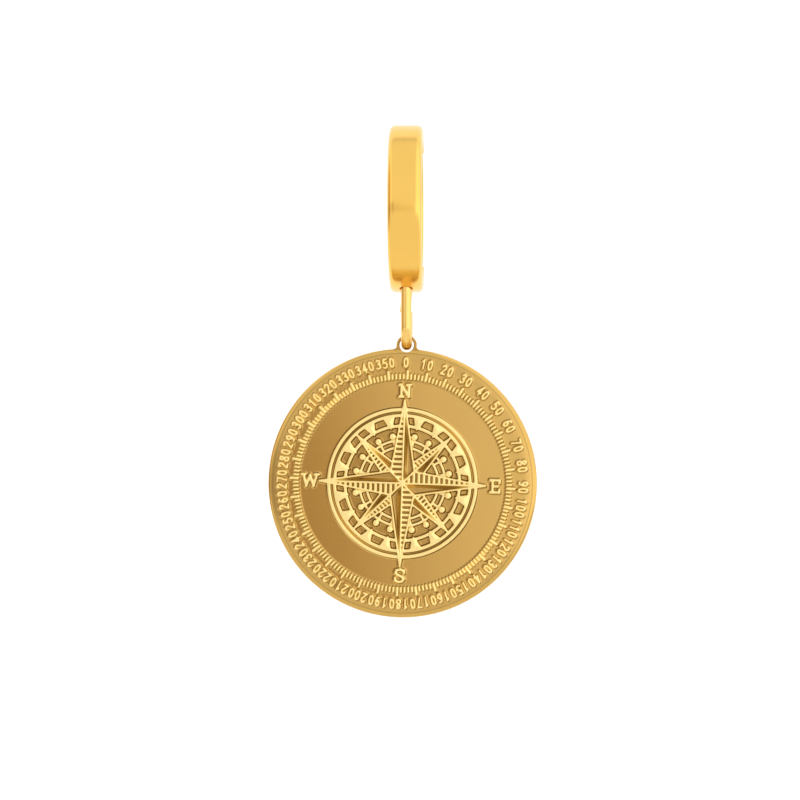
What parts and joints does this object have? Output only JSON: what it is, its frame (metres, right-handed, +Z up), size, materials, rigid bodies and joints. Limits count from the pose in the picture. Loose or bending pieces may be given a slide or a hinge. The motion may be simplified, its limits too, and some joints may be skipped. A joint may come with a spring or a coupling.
{
  "type": "compass pendant on a small hoop",
  "caption": "Round compass medallion with a raised rose and degree dial, hanging by an oval wire link from a small polished hoop.",
  "frame": {"origin": "inside top of the hoop, at the middle of its width, where the pendant hangs", "axes": "+Z up, the dial faces -Y, +X to the right of someone looking at the dial"},
  "size_m": [0.02, 0.0124, 0.0365],
  "materials": {
    "hoop_gold": "mirror-polished yellow gold plate",
    "arm_gold": "polished yellow gold plate",
    "link_gold": "polished yellow gold plated wire",
    "medallion_gold": "polished cast relief in yellow gold plate"
  },
  "bodies": {
    "hoop": {"hoop_band": "hoop_gold", "closing_arm": "arm_gold"},
    "link": {"link": "link_gold"},
    "medallion": {"medallion": "medallion_gold"}
  },
  "joints": [
    {"name": "link_swing", "type": "hinge", "parent": "hoop", "child": "link", "pos_m": [0, 0, -0.01081], "axis": [1, 0, 0], "range_deg": [-20, 20]},
    {"name": "medallion_swing", "type": "hinge", "parent": "link", "child": "medallion", "pos_m": [0, 0, -0.01508], "axis": [0, 1, 0], "range_deg": [-61.8, 58.2]}
  ]
}
